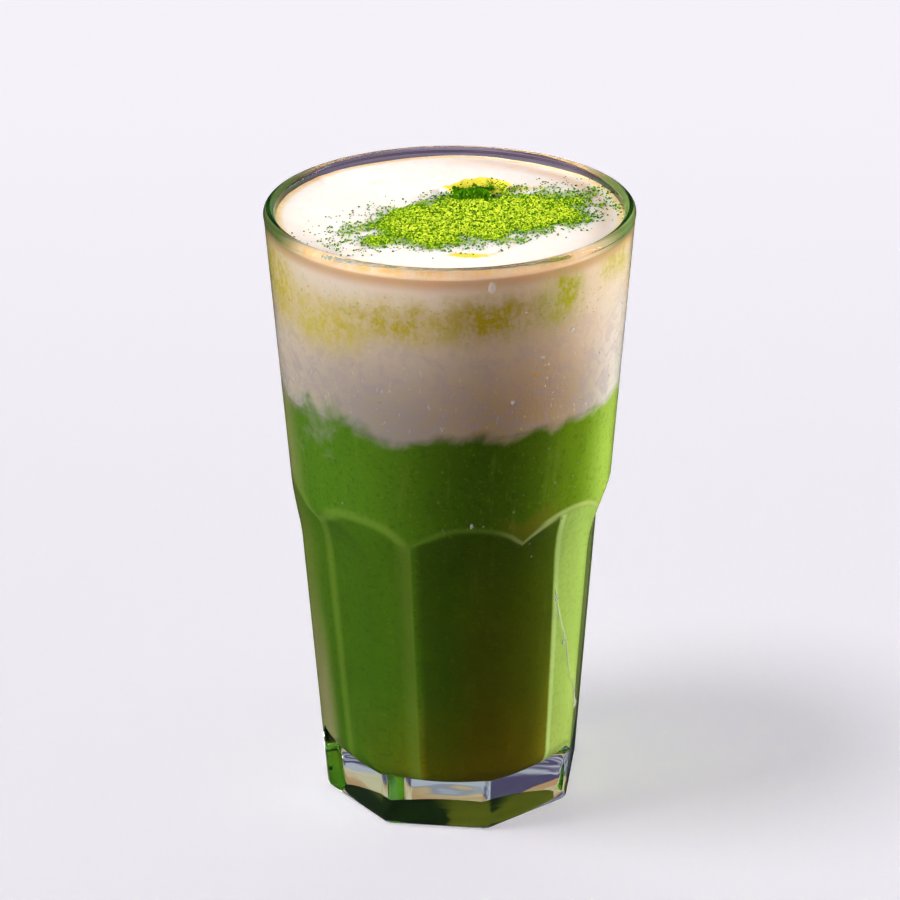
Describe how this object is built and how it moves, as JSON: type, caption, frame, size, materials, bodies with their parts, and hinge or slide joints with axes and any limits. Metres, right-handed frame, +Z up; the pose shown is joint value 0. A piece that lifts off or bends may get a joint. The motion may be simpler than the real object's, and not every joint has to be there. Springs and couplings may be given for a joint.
{
  "type": "matcha macchiato in a panelled tumbler",
  "caption": "Matcha macchiato in a tall glass tumbler with arched flat panels: green matcha drink under a layer of milk foam dusted with matcha powder.",
  "frame": {"origin": "centre of the underside of the tumbler's foot", "axes": "+Z up along the tumbler's axis, -Y towards the side that the picture shows as the front"},
  "size_m": [0.088, 0.088, 0.1523],
  "materials": {
    "glass": "polished pressed clear glass",
    "matcha": "opaque green drink, wet against the glass",
    "foam": "soft milk foam with green matcha powder on top"
  },
  "bodies": {
    "root": {"glass": "glass", "matcha_drink": "matcha", "milk_foam": "foam"}
  },
  "joints": []
}
